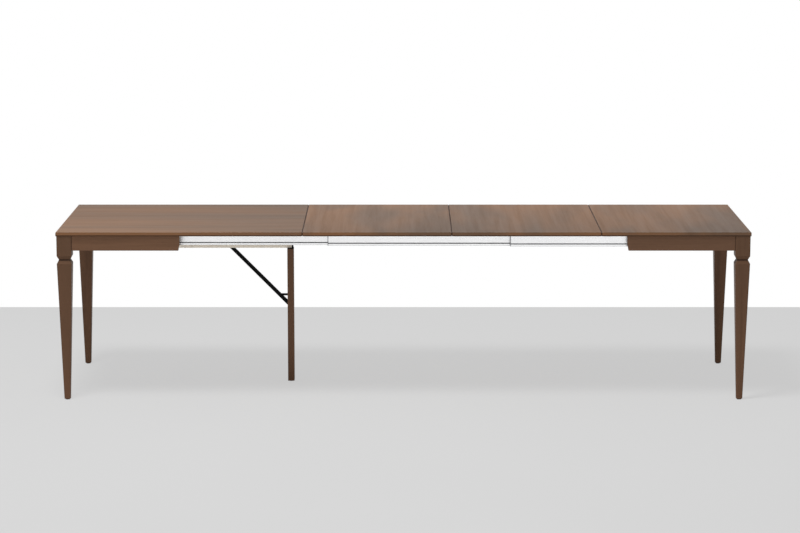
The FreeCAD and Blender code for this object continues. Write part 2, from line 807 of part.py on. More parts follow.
def support_leg_head():
    start = ("support_leg_left", "-support_leg_back", "head_bottom")
    cap = box("head_plate", start, ("support_leg_depth", "support_leg_width", "head_plate_thickness"))
    corner = f"ear_radius * {ear_corner_share}"
    foot = "support_leg_left + ear_foot_length"
    outline = (
        ("support_leg_left", "head_bottom"),
        (foot, "head_bottom"),
        (foot, "beam_bottom"),
        ("hinge_x + ear_radius", f"hinge_z + {corner}"),
        (f"hinge_x + {corner}", "hinge_z + ear_radius"),
        (f"hinge_x - {corner}", "hinge_z + ear_radius"),
        ("hinge_x - ear_radius", f"hinge_z + {corner}"),
        ("hinge_x - ear_radius", f"hinge_z - {corner}"),
    )
    holes = [(("hinge_x", "hinge_z"), "hinge_pin_radius + pin_clearance")]
    ear = plate("hinge_ear", "XZ_Plane", outline, "ear_thickness", ("0", "ear_front", "0"), holes)
    lug_start = ("beam_end + stop_gap", "-beam_back", "head_bottom")
    lug_height = "head_plate_thickness + stop_height"
    lug = box("stop_lug", lug_start, ("stop_thickness", "beam_thickness", lug_height))
    node(fused("support_leg_head", [cap, ear, lug]))


support_leg()
support_leg_head()


# Stay: a flat bar with a pressed rib, pivoted on the support leg, whose upper end slides in a track.
def stay_bar():
    body = doc.addObject("PartDesign::Body", "stay_bar")
    outline = new_sketch(body, "XZ_Plane")
    radius = number("stay_width") / 2
    far = FreeCAD.Vector(number("stay_length"), 0, 0)
    draw_smooth_loop(outline, [(FreeCAD.Vector(), 90), (far, 270)], radius)
    outline.addConstraint(Sketcher.Constraint("Coincident", 0, 3, -1, 1))
    bind_point(outline, 1, 3, ("stay_length", "0"))
    tie = outline.addConstraint(Sketcher.Constraint("Radius", 0, radius))
    outline.setExpression(f"Constraints[{tie}]", formula("stay_width / 2"))
    draw_circle(outline, ("0", "0"), "stay_pin_radius + pin_clearance")
    pad = body.newObject("PartDesign::Pad", "stay_pad")
    pad.Profile = outline
    pad.setExpression("Length", formula("stay_thickness"))
    pad.Reversed = True

    # The rib is pressed in from the front, so it is a groove there and stands proud at the back.
    rib_outline = rectangle("stay_rib_margin", "stay_length - stay_rib_margin / 2",
                            "-stay_rib_width / 2", "stay_rib_width / 2")
    groove_sketch = new_sketch(body, "XZ_Plane")
    draw_polygon(groove_sketch, rib_outline)
    groove = body.newObject("PartDesign::Pocket", "stay_groove")
    groove.Profile = groove_sketch
    groove.setExpression("Length", formula("stay_rib_height"))
    rib_sketch = new_sketch(body, "XZ_Plane", "-stay_thickness")
    draw_polygon(rib_sketch, rib_outline)
    rib = body.newObject("PartDesign::Pad", "stay_rib")
    rib.Profile = rib_sketch
    rib.setExpression("Length", formula("stay_rib_height"))
    rib.Reversed = True
    doc.recompute()
    if groove.Shape.Volume >= pad.Shape.Volume:
        raise RuntimeError("the stay's groove cuts nothing")
    place(body, "stay_foot_x", "stay_front", "stay_foot_z", FreeCAD.Rotation(FreeCAD.Vector(0, -1, 0), 90))
    body.setExpression("Placement.Rotation.Angle", formula("atan2(stay_rise; -stay_run)"))
    return body


def stay_track():
    """A steel channel on the back of the beam, open below, that guides the slider."""
    lip_bottom = "slider_z + stay_pin_radius + track_pin_gap"
    outline = (
        ("beam_back", "beam_bottom + track_lift"),
        ("beam_back + track_wall", "beam_bottom + track_lift"),
        ("beam_back + track_wall", "track_ceiling"),
        ("beam_back + track_depth - track_wall", "track_ceiling"),
        ("beam_back + track_depth - track_wall", lip_bottom),
        ("beam_back + track_depth", lip_bottom),
        ("beam_back + track_depth", "track_ceiling + track_wall"),
        ("beam_back", "track_ceiling + track_wall"),
    )
    start = ("track_end - track_length", "0", "0")
    return node(plate("stay_track", "YZ_Plane", outline, "track_length", start))


def stay():
    """The bar with its riveted pins, the slider button on the upper one and the pivot at the foot."""
    slider_start = ("slider_x", "slider_front", "slider_z")
    node(turned("stay_slider", [("slider_radius", "slider_width")], slider_start, to_back,
                "stay_pin_radius + pin_clearance"))
    head = ("stay_pin_head_radius", "stay_pin_head_height")
    shank = ("stay_pin_radius", "stay_back - slider_front")
    slider_pin = turned("stay_slider_pin", (shank, head), slider_start, to_back)
    catch_start = ("catch_x", "support_leg_back + running_gap", "catch_z")
    catch_steps = (("catch_pin_radius", "stay_back - support_leg_back - running_gap"), head)
    catch_pin = turned("catch_pin", catch_steps, catch_start, to_back)
    node(fused("stay", [stay_bar(), slider_pin, catch_pin]))
    pivot_start = ("stay_foot_x", "support_leg_back - stay_pin_depth", "stay_foot_z")
    pivot_steps = (
        ("stay_pin_radius", "stay_pin_depth"),
        ("stay_collar_radius", "stay_gap - running_gap"),
        ("stay_pin_radius", "stay_thickness + 2 * running_gap"),
        head,
    )
    node(turned("stay_pivot_pin", pivot_steps, pivot_start, to_back))


def stay_catch():
    """A flat arm on the back of the support leg, hooked over the stay's catch pin."""
    right = "stay_foot_x + catch_arm_end"
    low = "catch_z - catch_arm_drop"
    notch_x = "catch_x + catch_hold"
    notch_z = "catch_z + catch_hold"
    outline = (
        (right, low),
        (right, f"{notch_z} + catch_hook_height"),
        ("catch_x - catch_hook_length", f"{notch_z} + catch_hook_height"),
        ("catch_x - catch_hook_length", notch_z),
        (notch_x, notch_z),
        (notch_x, low),
    )
    start = ("0", "support_leg_back", "0")
    holes = [(("stay_foot_x", "catch_z"), "screw_radius + screw_clearance")]
    node(plate("stay_catch", "XZ_Plane", outline, "catch_thickness", start, holes))
    screw_start = ("stay_foot_x", "support_leg_back + catch_thickness + screw_head_height", "catch_z")
    node(screw("catch_screw", screw_start, "catch_thickness + screw_bite", to_front))


stay()
stay_track()
stay_catch()


def write_parts():
    """Checks every object, then writes each piece to its own file."""
    doc.recompute()
    for item in doc.Objects:
        if "Invalid" in item.State or "Error" in item.State:
            raise RuntimeError(f"{item.Label} did not build: {item.State}")
    for item in nodes:
        if item.Shape.isNull() or not item.Shape.isValid():
            raise RuntimeError(f"{item.Label} has no valid shape")
    os.makedirs("parts", exist_ok=True)
    for item in nodes:
        item.Shape.exportStep(f"parts/{item.Label}.step")


write_parts()
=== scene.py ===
from collections import namedtuple
import json
import math

import bmesh
import bpy
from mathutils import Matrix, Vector


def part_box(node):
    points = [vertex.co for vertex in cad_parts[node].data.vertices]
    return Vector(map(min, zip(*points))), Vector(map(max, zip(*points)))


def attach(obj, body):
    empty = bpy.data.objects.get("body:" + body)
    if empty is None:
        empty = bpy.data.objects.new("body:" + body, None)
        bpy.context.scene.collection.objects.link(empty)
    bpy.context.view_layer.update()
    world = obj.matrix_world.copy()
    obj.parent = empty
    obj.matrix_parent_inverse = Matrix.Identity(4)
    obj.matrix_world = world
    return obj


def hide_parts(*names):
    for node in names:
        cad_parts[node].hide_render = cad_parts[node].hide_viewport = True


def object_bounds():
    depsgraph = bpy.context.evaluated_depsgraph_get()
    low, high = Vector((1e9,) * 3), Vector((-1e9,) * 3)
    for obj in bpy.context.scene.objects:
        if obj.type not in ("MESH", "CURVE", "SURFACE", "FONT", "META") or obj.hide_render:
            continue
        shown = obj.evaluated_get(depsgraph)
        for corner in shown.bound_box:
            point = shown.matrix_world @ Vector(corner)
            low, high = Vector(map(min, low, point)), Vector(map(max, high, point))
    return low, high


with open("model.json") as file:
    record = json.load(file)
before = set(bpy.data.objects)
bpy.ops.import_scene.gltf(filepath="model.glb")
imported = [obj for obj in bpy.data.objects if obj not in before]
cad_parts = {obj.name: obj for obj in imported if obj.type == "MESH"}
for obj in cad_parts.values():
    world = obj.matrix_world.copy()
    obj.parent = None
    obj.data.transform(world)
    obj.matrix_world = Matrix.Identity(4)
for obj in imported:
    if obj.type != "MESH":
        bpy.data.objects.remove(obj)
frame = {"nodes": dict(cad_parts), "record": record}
cad_low, cad_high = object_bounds()
scene = bpy.context.scene
slots = {row["node"]: row["material_slot"] for row in frame["record"]["subparts"]}
body_of = {node: body for body, names in frame["record"]["behaviour"]["bodies"].items() for node in names}
ends = ("left", "right")
sides = ("front", "back")
white = (1.0, 1.0, 1.0)


# Node helpers

class Nodes:
    """A node tree, and short calls that add nodes to it and give back what they put out."""

    def __init__(self, tree):
        self.tree = tree

    def add(self, kind, **settings):
        node = self.tree.nodes.new(kind)
        for key, value in settings.items():
            setattr(node, key, value)
        return node

    def feed(self, socket, value):
        """Links an input to another node's output, or sets it to a plain value."""
        if isinstance(value, bpy.types.NodeSocket):
            self.tree.links.new(value, socket)
        else:
            socket.default_value = value

    def feed_all(self, node, values):
        for key, value in values.items():
            self.feed(node.inputs[key], value)

    def math(self, operation, *values):
        node = self.add("ShaderNodeMath", operation=operation)
        for socket, value in zip(node.inputs, values):
            self.feed(socket, value)
        return node.outputs["Value"]

    def spread(self, value, low, high, out_low=0.0, out_high=1.0):
        """Maps a range of a value onto another, and holds it there."""
        node = self.add("ShaderNodeMapRange")
        self.feed_all(node, {
            "Value": value,
            "From Min": low,
            "From Max": high,
            "To Min": out_low,
            "To Max": out_high,
        })
        return node.outputs["Result"]


class Shader(Nodes):
    """The nodes of a new material."""

    # The part of a band, from its middle, that has the full colour
    band_core = 0.6

    def __init__(self, name):
        self.material = bpy.data.materials.new(name)
        self.material.use_nodes = True
        super().__init__(self.material.node_tree)
        self.surface = self.tree.nodes["Principled BSDF"]
        self.output = self.tree.nodes["Material Output"]

    def set(self, **values):
        for key, value in values.items():
            self.feed(self.surface.inputs[key.replace("_", " ")], value)

    def place(self, scale=(1.0, 1.0, 1.0)):
        """The object's own coordinates in metres, scaled along each axis."""
        coordinates = self.add("ShaderNodeTexCoord")
        mapping = self.add("ShaderNodeMapping")
        self.feed_all(mapping, {"Vector": coordinates.outputs["Object"], "Scale": scale})
        return mapping.outputs["Vector"]

    def noise(self, scale, detail=2.0, roughness=0.5, distortion=0.0):
        node = self.add("ShaderNodeTexNoise")
        self.feed_all(node, {
            "Vector": self.place(scale),
            "Scale": 1.0,
            "Detail": detail,
            "Roughness": roughness,
            "Distortion": distortion,
        })
        return node.outputs["Fac"]

    def split(self, vector):
        node = self.add("ShaderNodeSeparateXYZ")
        self.feed(node.inputs["Vector"], vector)
        return node.outputs

    def ramp(self, value, *stops):
        node = self.add("ShaderNodeValToRGB")
        self.feed(node.inputs["Fac"], value)
        elements = node.color_ramp.elements
        while len(elements) < len(stops):
            elements.new(0.5)
        for element, (position, colour) in zip(elements, stops):
            element.position = position
            element.color = (*colour, 1.0)
        return node.outputs["Color"]

    def tint(self, colour, blend, factor, other):
        """Blends a second colour over the first."""
        node = self.add("ShaderNodeMix", data_type="RGBA", blend_type=blend)
        self.feed_all(node, {"Factor": factor, "A": colour, "B": other})
        return node.outputs["Result"]

    def band(self, colour, along_axis, centre, reach, other, strength=0.9):
        """Lays another colour over a thin band about a place on an axis."""
        off = self.math("ABSOLUTE", self.math("SUBTRACT", along_axis, centre))
        factor = self.spread(off, self.band_core * reach, reach, strength, 0.0)
        return self.tint(colour, "MIX", factor, other)

    def bump(self, height, distance, strength):
        node = self.add("ShaderNodeBump")
        self.feed_all(node, {"Strength": strength, "Distance": distance, "Height": height})
        self.feed(self.surface.inputs["Normal"], node.outputs["Normal"])


# Scales of noise are in waves per metre, and nearly all of its values lie in this range

noise_low = 0.3
noise_high = 0.7


def along(axis, lengthwise, crosswise):
    """A scale that is stretched along one axis."""
    return tuple(lengthwise if index == axis else crosswise for index in range(3))


def even(scale):
    return scale, scale, scale


# Stained walnut

Stain = namedtuple("Stain", "dark red grey veins roughness")
top_stain = Stain(
    dark=(0.108, 0.056, 0.033),
    red=(0.272, 0.143, 0.074),
    grey=(0.184, 0.113, 0.072),
    veins=0.22,
    roughness=0.5,
)
apron_stain = Stain(
    dark=(0.060, 0.029, 0.015),
    red=(0.170, 0.088, 0.049),
    grey=(0.140, 0.074, 0.043),
    veins=0.55,
    roughness=0.45,
)
leg_stain = Stain(
    dark=(0.048, 0.023, 0.012),
    red=(0.140, 0.072, 0.040),
    grey=(0.117, 0.062, 0.035),
    veins=0.55,
    roughness=0.45,
)

# Broad patches: their scale along the grain, and the values of the noise that are grey and red
Patches = namedtuple("Patches", "lengthwise grey red")
long_patches = Patches(0.7, 0.22, 0.78)
short_patches = Patches(1.5, 0.34, 0.66)
patches_crosswise = 5.0

# Streaks and pores: their scales along and across the grain, and the values of their noise where they
# begin and are full
streak_scale = (1.1, 30.0)
streak_start = 0.48
streak_full = 0.8
pore_scale = (9.0, 420.0)
pore_start = 0.58
pore_full = 0.74
pore_strength = 0.22
grain_depth = 0.00012

# The tones that are all grey and all red, and how much smoother or rougher than its mean a stain gets
grey_tone = 0.1
red_tone = 0.9
smoother = 0.05
rougher = 0.09

# A board of the top: the places on X where its stain is red and grey, how far its back leans to
# red, and the painted light on its face: how bright its front and its back are
Board = namedtuple("Board", "turn lean fade")
boards = {
    "left_top": Board(turn=(-1.3, -0.5), lean=-0.1, fade=(0.86, 0.78)),
    "leaf_1": Board(turn=(-0.4, 0.15), lean=0.16, fade=(0.63, 1.0)),
    "leaf_2": Board(turn=(0.85, 0.25), lean=0.16, fade=(0.63, 1.02)),
    "right_top": Board(turn=(1.0, 1.55), lean=0.16, fade=(0.63, 1.02)),
}
turn_strength = 0.24

# Painted shade on a board's edge and eased arris against its face, told apart by how far up they face
painted_edge_shade = (0.80, 0.735, 0.675)
painted_arris_shade = (0.42, 0.38, 0.35)
edge_facing = 0.3
arris_facing = 0.7
face_facing = 0.99
under_facing = -0.9
side_facing = -0.6

# Painted shade: dark lines at the seams of the top, at its foot, at the joints of the frame and in the legs'
# groove
seam_shade_colour = (0.052, 0.022, 0.010, 1.0)
seam_reach = 0.0032
line_shade_colour = (0.030, 0.015, 0.009, 1.0)
joint_reach = 0.0030
joint_strength = 0.8
top_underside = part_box("left_top")[0].z
foot_solid = 0.0042
foot_reach = 0.0065
foot_strength = 0.85
neck_level = 0.652
neck_reach = 0.0045


def board_shades(shader, colour, place, board, seams):
    """Paints shade on a board's edge and arris, paints light falling off across its face from front to back,
    and paints shade in its seams and along the line at its foot.
    """
    facing = shader.split(shader.add("ShaderNodeNewGeometry").outputs["True Normal"])["Z"]
    # Painted shade: the edge and the arris are darker than the face
    stops = ((edge_facing, painted_edge_shade), (arris_facing, painted_arris_shade), (face_facing, white))
    colour = shader.tint(colour, "MULTIPLY", 1.0, shader.ramp(facing, *stops))
    # Painted light: the face is brighter or darker from its front to its back
    depth = shader.spread(place["Y"], cad_low.y, cad_high.y)
    front, back = [even(level) for level in board.fade]
    on_face = shader.spread(facing, arris_facing, face_facing)
    colour = shader.tint(colour, "MULTIPLY", on_face, shader.ramp(depth, (0.0, front), (1.0, back)))
    # Painted shade in the gaps between the boards
    for seam in seams:
        colour = shader.band(colour, place["X"], seam, seam_reach, seam_shade_colour)
    # Painted shade along the lower edge of the board, just above its underside
    on_edge = shader.spread(facing, under_facing, side_facing)
    above = shader.math("SUBTRACT", place["Z"], top_underside)
    foot = shader.spread(above, foot_solid, foot_reach, foot_strength, 0.0)
    return shader.tint(colour, "MIX", shader.math("MULTIPLY", on_edge, foot), line_shade_colour)


def walnut(name, axis, stain, lines=(), board=None, seams=()):
    """Walnut with broad red and grey patches, streaks along the grain and fine dark pores.

    The lines, bands of painted shade at joints and in grooves, are each an axis, a place on it and a
    reach. The seams of a board of the top are places on X.
    """
    shader = Shader(name)
    spots = long_patches if axis == 0 else short_patches
    spot_scale = along(axis, spots.lengthwise, patches_crosswise)
    patches = shader.noise(spot_scale, roughness=0.4, distortion=0.25)
    streaks = shader.noise(along(axis, *streak_scale), detail=5.0, roughness=0.62, distortion=0.3)
    fibres = shader.noise(along(axis, *pore_scale), detail=3.0, roughness=0.6)
    place = shader.split(shader.place())
    tone = shader.spread(patches, spots.grey, spots.red)
    if board:
        turn = shader.spread(place["X"], *board.turn, turn_strength, -turn_strength)
        tip = shader.spread(place["Y"], cad_low.y, cad_high.y, -board.lean, board.lean)
        tone = shader.math("ADD", tone, shader.math("ADD", turn, tip))
    colour = shader.ramp(tone, (grey_tone, stain.grey), (red_tone, stain.red))
    veins = shader.spread(streaks, streak_start, streak_full, 0.0, stain.veins)
    pores = shader.spread(fibres, pore_start, pore_full, 0.0, pore_strength)
    for mask in (veins, pores):
        colour = shader.tint(colour, "MIX", mask, (*stain.dark, 1.0))
    if board:
        colour = board_shades(shader, colour, place, board, seams)
    # Painted shade in the lines at the joints and in the groove
    for letter, centre, reach in lines:
        colour = shader.band(colour, place[letter], centre, reach, line_shade_colour, joint_strength)
    smooth, rough = stain.roughness - smoother, stain.roughness + rougher
    roughness = shader.spread(streaks, noise_low, streak_full, smooth, rough)
    shader.set(Base_Color=colour, Roughness=roughness, Specular_IOR_Level=0.1)
    shader.bump(shader.math("ADD", fibres, streaks), grain_depth, strength=0.6)
    return shader.material


def walnut_top(node):
    """The left top has its grain along X, the other boards along Y. All but the outermost ends are seams."""
    axis = 0 if node == "left_top" else 1
    seams = [end.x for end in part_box(node) if abs(end.x) < cad_high.x - seam_reach]
    return walnut("walnut_" + node, axis, top_stain, board=boards[node], seams=seams)


def both_sides(letter, place):
    """Painted shade lines at the joints, at the same distance on either side of the middle."""
    return [(letter, sign * place, joint_reach) for sign in (-1, 1)]


# Pale wood

pale_shades = ((0.93, 0.85, 0.70), (0.97, 0.91, 0.79))
ring_scale = (1.4, 30.0)
ring_depth = 0.0001
fleck_colour = (0.55, 0.40, 0.25, 1.0)
fleck_scale = (40.0, 320.0)
fleck_start = 0.6
fleck_full = 0.75
fleck_strength = 0.25


def pale_wood(name, axis):
    """Lacquered pale wood with soft rings and short brown flecks."""
    shader = Shader(name)
    rings = shader.noise(along(axis, *ring_scale), detail=4.0, roughness=0.55, distortion=0.3)
    flecks = shader.noise(along(axis, *fleck_scale))
    early, late = pale_shades
    base = shader.ramp(rings, (noise_low, early), (noise_high, late))
    mask = shader.spread(flecks, fleck_start, fleck_full, 0.0, fleck_strength)
    colour = shader.tint(base, "MIX", mask, fleck_colour)
    roughness = shader.spread(rings, noise_low, noise_high, 0.42, 0.55)
    shader.set(Base_Color=colour, Roughness=roughness, Specular_IOR_Level=0.4)
    shader.bump(rings, ring_depth, strength=0.5)
    return shader.material


# Aluminium of the runners, whose slots are at the same height and depth in each of them

outer_rail_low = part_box("right_rail_front")[0]
middle_rail_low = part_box("middle_rail_front")[0]
rail_outer_face = -outer_rail_low.y
rail_pitch = middle_rail_low.y - outer_rail_low.y
rail_bottom = outer_rail_low.z
rail_lip_reach = 0.0016
rail_lip_strength = 0.6
slot_depth_middle = 0.0052
slot_depth_reach = 0.0046
slot_above_bottom = 0.0115
slot_level = rail_bottom + slot_above_bottom
slot_height_reach = 0.0062
anodised_shades = ((0.71, 0.71, 0.715), (0.74, 0.74, 0.745))
die_line_tint = (0.6, 0.6, 0.6, 1.0)
die_line_scale = (0.8, 900.0)
die_line_start = 0.4
die_line_full = 0.75
die_line_strength = 0.1
die_line_depth = 0.00001
slot_shade_colour = (0.10, 0.10, 0.105, 1.0)
rail_shade_colour = (0.16, 0.16, 0.165, 1.0)
rail_end_reach = 0.0045


def aluminium(name, rail_ends):
    """Satin anodised extrusion, with faint die lines along X, and painted shade in its slots, on the lower
    rounding of its lip and at its cut ends.
    """
    shader = Shader(name)
    lines = shader.noise(along(0, *die_line_scale), detail=3.0, roughness=0.6)
    clouds = shader.noise(even(6.0))
    dull, bright = anodised_shades
    base = shader.ramp(clouds, (noise_low, dull), (noise_high, bright))
    die_lines = shader.spread(lines, die_line_start, die_line_full, 0.0, die_line_strength)
    colour = shader.tint(base, "MULTIPLY", die_lines, die_line_tint)
    place = shader.split(shader.place())
    # Painted shade inside the slots, where the metal would otherwise shine
    inwards = shader.math("SUBTRACT", rail_outer_face, shader.math("ABSOLUTE", place["Y"]))
    depth = shader.math("MODULO", inwards, rail_pitch)
    deep = shader.math("COMPARE", depth, slot_depth_middle, slot_depth_reach)
    level = shader.math("COMPARE", place["Z"], slot_level, slot_height_reach)
    colour = shader.tint(colour, "MIX", shader.math("MULTIPLY", deep, level), slot_shade_colour)
    # Painted shade at the rails' cut ends
    for end in rail_ends:
        colour = shader.band(colour, place["X"], end, rail_end_reach, rail_shade_colour)
    # Painted shade on the lower rounding of the lip
    lip = (rail_bottom, rail_lip_reach, rail_shade_colour, rail_lip_strength)
    colour = shader.band(colour, place["Z"], *lip)
    roughness = shader.spread(lines, noise_low, noise_high, 0.24, 0.36)
    shader.set(Base_Color=colour, Roughness=roughness, Metallic=1.0)
    shader.bump(lines, die_line_depth, strength=0.3)
    return shader.material


# Steel and plastic

coat_shades = ((0.35, even(0.0015)), (0.75, even(0.004)))
peel_depth = 0.00006
zinc_shades = ((noise_low, (0.52, 0.54, 0.57)), (0.55, (0.62, 0.62, 0.60)), (0.75, (0.66, 0.63, 0.56)))
scratch_scale = (1400.0, 90.0, 300.0)
scratch_depth = 0.00003
nylon_shades = ((noise_low, (0.022, 0.022, 0.023)), (noise_high, (0.034, 0.034, 0.034)))
spark_depth = 0.00008


def black_steel(name):
    """Black powder coat with a slight orange peel and dust-pale specks."""
    shader = Shader(name)
    peel = shader.noise(even(900.0))
    specks = shader.noise(even(260.0), detail=3.0)
    roughness = shader.spread(peel, noise_low, noise_high, 0.46, 0.6)
    shader.set(Base_Color=shader.ramp(specks, *coat_shades), Roughness=roughness, Specular_IOR_Level=0.07)
    shader.bump(peel, peel_depth, strength=0.6)
    return shader.material


def zinc_steel(name):
    """Zinc plate with cool and warm clouds and fine scratches."""
    shader = Shader(name)
    clouds = shader.noise(even(45.0), detail=3.0)
    scratches = shader.noise(scratch_scale, detail=3.0)
    roughness = shader.spread(scratches, noise_low, 0.75, 0.26, 0.45)
    shader.set(Base_Color=shader.ramp(clouds, *zinc_shades), Roughness=roughness, Metallic=1.0)
    shader.bump(scratches, scratch_depth, strength=0.5)
    return shader.material


def dark_plastic(name):
    """Moulded black nylon with a fine sparked texture."""
    shader = Shader(name)
    grain = shader.noise(even(1300.0))
    clouds = shader.noise(even(60.0))
    roughness = shader.spread(grain, noise_low, noise_high, 0.45, 0.62)
    shader.set(Base_Color=shader.ramp(clouds, *nylon_shades), Roughness=roughness)
    shader.bump(grain, spark_depth, strength=0.6)
    return shader.material


# A finish for each node. What has a grain has one material for each axis that the grain may follow

leg_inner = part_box("leg_right_back")[0]
tops = {node: walnut_top(node) for node in boards}
# The frame's lines are painted shade at the joints of apron and post and in the legs' groove
grained = {
    "walnut_frame": (
        walnut("walnut_side_apron", 0, apron_stain, both_sides("X", leg_inner.x)),
        walnut("walnut_end_apron", 1, apron_stain, both_sides("Y", leg_inner.y)),
        walnut("walnut_leg", 2, leg_stain, [("Z", neck_level, neck_reach)]),
    ),
    "pale_wood": [pale_wood(f"pale_wood_{letter}", axis) for axis, letter in enumerate("xyz")],
}
runners = {}
for part in ("left", "middle", "right"):
    rail_ends = [corner.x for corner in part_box(f"{part}_rail_front")]
    runners[part] = aluminium(f"runner_aluminium_{part}", rail_ends)
plain = {
    "black_steel": black_steel("black_steel"),
    "zinc_steel": zinc_steel("zinc_steel"),
    "dark_plastic": dark_plastic("dark_plastic"),
}


def grain_axis(node):
    """The grain runs along a piece's longest side."""
    low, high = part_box(node)
    lengths = list(high - low)
    return lengths.index(max(lengths))


def finish_of(node):
    slot = slots[node]
    if node in tops:
        return tops[node]
    if slot == "runner_aluminium":
        return runners[node.split("_")[0]]
    if slot in grained:
        return grained[slot][grain_axis(node)]
    return plain[slot]


for node_name in slots:
    piece = frame["nodes"][node_name]
    piece.data.materials.clear()
    piece.data.materials.append(finish_of(node_name))


# Finer meshes in place of some nodes

class Rings:
    """Gathers rings of points, one above the other, and the faces between them."""

    def __init__(self):
        self.verts = []
        self.faces = []

    def outline(self, points, height):
        first = len(self.verts)
        self.verts += [(x, y, height) for x, y in points]
        return range(first, len(self.verts))

    def circle(self, count, radius, height):
        angles = [2 * math.pi * index / count for index in range(count)]
        points = [(radius * math.cos(angle), radius * math.sin(angle)) for angle in angles]
        return self.outline(points, height)

    def join(self, upper, lower):
        count = len(upper)
        for index in range(count):
            after = (index + 1) % count
            self.faces.append((upper[after], upper[index], lower[index], lower[after]))

    def close(self, ring, upwards):
        self.faces.append(tuple(ring) if upwards else tuple(reversed(ring)))


def put_in_place(node, verts, faces, sharp_degrees):
    """Shows a finer mesh instead of a node, on the same body and in the same finish."""
    mesh = bpy.data.meshes.new(node + "_form")
    mesh.from_pydata(verts, [], faces)
    mesh.shade_smooth()
    mesh.set_sharp_from_angle(angle=math.radians(sharp_degrees))
    mesh.materials.append(finish_of(node))
    piece = bpy.data.objects.new(node + "_form", mesh)
    scene.collection.objects.link(piece)
    piece.modifiers.new("weights", "WEIGHTED_NORMAL").keep_sharp = True
    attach(piece, body_of[node])
    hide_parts(node)


# Legs: rounded squares along the taper, the V-groove and the post, given by half their width

leg_corner = 0.005
corner_steps = 6
leg_sharp_degrees = 40
foot_half = 0.0140
foot_bevel = 0.0010
foot_bevel_height = 0.0012
groove_half_height = 0.0175
groove_ease = 0.0014
shaft_half = 0.03394
mouth_half = 0.0336
lip_half = 0.0331
flank_half = 0.0256
neck_half = 0.0252


def leg_rings(bottom, top, post_half):
    """Heights and half widths from the foot to the top. Each edge of the groove is eased in two steps."""
    mouth_bottom = neck_level - groove_half_height
    mouth_top = neck_level + groove_half_height
    return (
        (bottom, foot_half - foot_bevel),
        (bottom + foot_bevel_height, foot_half),
        (mouth_bottom - groove_ease, shaft_half),
        (mouth_bottom, mouth_half),
        (mouth_bottom + groove_ease, lip_half),
        (neck_level - groove_ease, flank_half),
        (neck_level, neck_half),
        (neck_level + groove_ease, flank_half),
        (mouth_top - groove_ease, lip_half),
        (mouth_top, mouth_half),
        (mouth_top + groove_ease, post_half),
        (top, post_half),
    )


def rounded_square(centre, half):
    """A square with round corners, anticlockwise from the back end of its right-hand side."""
    inner = half - leg_corner
    outline = []
    for quarter, (sign_x, sign_y) in enumerate(((1, 1), (-1, 1), (-1, -1), (1, -1))):
        for step in range(corner_steps + 1):
            angle = math.radians(90 * (quarter + step / corner_steps))
            outline.append((
                centre.x + sign_x * inner + leg_corner * math.cos(angle),
                centre.y + sign_y * inner + leg_corner * math.sin(angle),
            ))
    return outline


def leg_form(node):
    low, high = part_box(node)
    centre = (low + high) / 2
    form = Rings()
    sections = leg_rings(low.z, high.z, (high.x - low.x) / 2)
    rings = [form.outline(rounded_square(centre, half), height) for height, half in sections]
    for lower, upper in zip(rings, rings[1:]):
        form.join(upper, lower)
    form.close(rings[0], False)
    form.close(rings[-1], True)
    put_in_place(node, form.verts, form.faces, leg_sharp_degrees)


for end in ends:
    for side in sides:
        leg_form(f"leg_{end}_{side}")


# Fasteners: pan-headed screws with a cross recess, and bolts with a chamfered hexagon head

head_sides = 24
hexagon_sides = 6
pan_steps = 3
head_sharp_degrees = 35
weld_reach = 1e-5
tip_reach = 1e-4

# Shares of a head's radius or height, of a shank's radius, and of the recess's size at its rim
rim_share = 0.95
pan_flat_share = 0.62
pan_skirt_share = 0.3
arm_length_share = 0.46
arm_width_share = 0.11
recess_depth_share = 0.7
recess_floor_share = 0.6
hexagon_top_share = 0.86
hexagon_shoulder_share = 0.84
screw_tip_share = 1 / 6
bolt_tip_share = 0.8
bolt_tip_length_share = 1 / 4


def cross_outline(reach, width):
    """The twelve corners of a cross, anticlockwise from the first arm's right-hand corner."""
    arm = [(reach, -width), (reach, width), (width, width)]
    outline = []
    for _ in range(4):
        outline += arm
        arm = [(-y, x) for x, y in arm]
    return outline


def pan_profile():
    """Shares of a head's radius and height, down a quarter of an ellipse and then a straight skirt."""
    profile = []
    for step in range(pan_steps + 1):
        angle = math.radians(90 * (1 - step / pan_steps))
        out = pan_flat_share + (1 - pan_flat_share) * math.cos(angle)
        up = pan_skirt_share + (1 - pan_skirt_share) * math.sin(angle)
        profile.append((out, up))
    profile.append((1.0, 0.0))
    return profile


def screw_form(head_radius, head_height, shank_radius, length):
    """A screw that points down, with the underside of its head at zero."""
    form = Rings()
    rings = [form.circle(head_sides, head_radius * out, head_height * up) for out, up in pan_profile()]
    rings.append(form.circle(head_sides, shank_radius, 0.0))
    rings.append(form.circle(head_sides, shank_radius, 2 * shank_radius - length))
    rings.append(form.circle(head_sides, shank_radius * screw_tip_share, -length))
    for upper, lower in zip(rings, rings[1:]):
        form.join(upper, lower)
    form.close(rings[-1], False)
    reach, width = head_radius * arm_length_share, head_radius * arm_width_share
    rim = form.outline(cross_outline(reach, width), head_height)
    sunk = cross_outline(reach * recess_floor_share, width * recess_floor_share)
    floor = form.outline(sunk, head_height * (1 - recess_depth_share))
    form.join(floor, rim)
    form.close(floor, True)
    top = rings[0]
    step = head_sides // 4
    for quarter in range(4):
        near = quarter * step
        right, left, inner = rim[3 * quarter:3 * quarter + 3]
        far_right = rim[(3 * quarter + 3) % len(rim)]
        form.faces.append((top[near - 1], top[near], top[near + 1], left, right))
        arc = tuple(top[near + index] for index in range(1, step))
        form.faces.append(arc + (far_right, inner, left))
    return form


